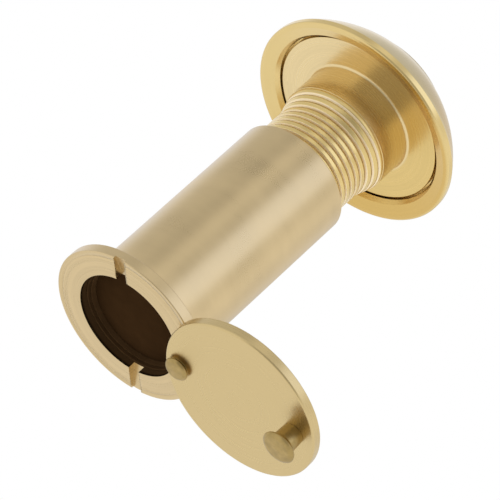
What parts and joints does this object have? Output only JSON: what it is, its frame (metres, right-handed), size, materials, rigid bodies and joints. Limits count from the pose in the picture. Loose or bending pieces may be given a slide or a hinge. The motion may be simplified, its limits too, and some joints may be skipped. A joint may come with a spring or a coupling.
{
  "type": "door viewer",
  "caption": "Door viewer: a flanged sleeve with a coin slot and swing cover, and a domed wide-angle lens head on a threaded barrel that screws in to clamp the door.",
  "frame": {"origin": "centre of the flange's seating face, on the optical axis", "axes": "+Y along the optical axis from the room side to the street side, +Z from the axis to the cover's pivot, so the cover hangs closed from 12 o'clock in use"},
  "size_m": [0.0302, 0.0582, 0.0445],
  "materials": {
    "sleeve_brass": "satin, brushed along the tube, fine turning marks on the flange",
    "cover_brass": "satin",
    "head_brass": "satin, turned",
    "barrel_brass": "fine turned, as cut",
    "bronze": "darker burnished",
    "washer_brass": "satin",
    "lens_glass": "polished",
    "black_plastic": "matte",
    "dark_liner": "matte dark brown",
    "seal_rubber": "matte"
  },
  "bodies": {
    "sleeve": {"inner_sleeve": "sleeve_brass", "bore_liner": "dark_liner", "eyepiece_lens": "lens_glass", "eyepiece_ring": "dark_liner", "pivot_rivet": "bronze", "pivot_washer": "washer_brass"},
    "cover": {"cover_disc": "cover_brass", "pull_knob": "bronze"},
    "head": {"outer_rose": "head_brass"},
    "barrel": {"threaded_barrel": "barrel_brass", "front_bezel": "head_brass", "objective_seal": "seal_rubber", "objective_lens": "lens_glass", "second_lens": "lens_glass", "front_spacer": "black_plastic", "third_lens": "lens_glass", "rear_spacer": "black_plastic", "aperture_stop": "black_plastic", "barrel_ring": "black_plastic", "baffle_tube": "black_plastic"}
  },
  "joints": [
    {"name": "cover_swing", "type": "hinge", "parent": "sleeve", "child": "cover", "pos_m": [0, 0, 0.0091], "axis": [0, 1, 0], "continuous": true},
    {"name": "door_gap", "type": "slide", "parent": "sleeve", "child": "head", "axis": [0, 1, 0], "range_m": [-0.0052, 0.0148]},
    {"name": "screw_turn", "type": "hinge", "parent": "head", "child": "barrel", "pos_m": [0, 0.045, 0], "axis": [0, 1, 0], "range_deg": [-1873, 5329]}
  ],
  "couplings": [
    {"joint": "screw_turn", "follows": "door_gap", "rad_per_m": 6283.2}
  ]
}
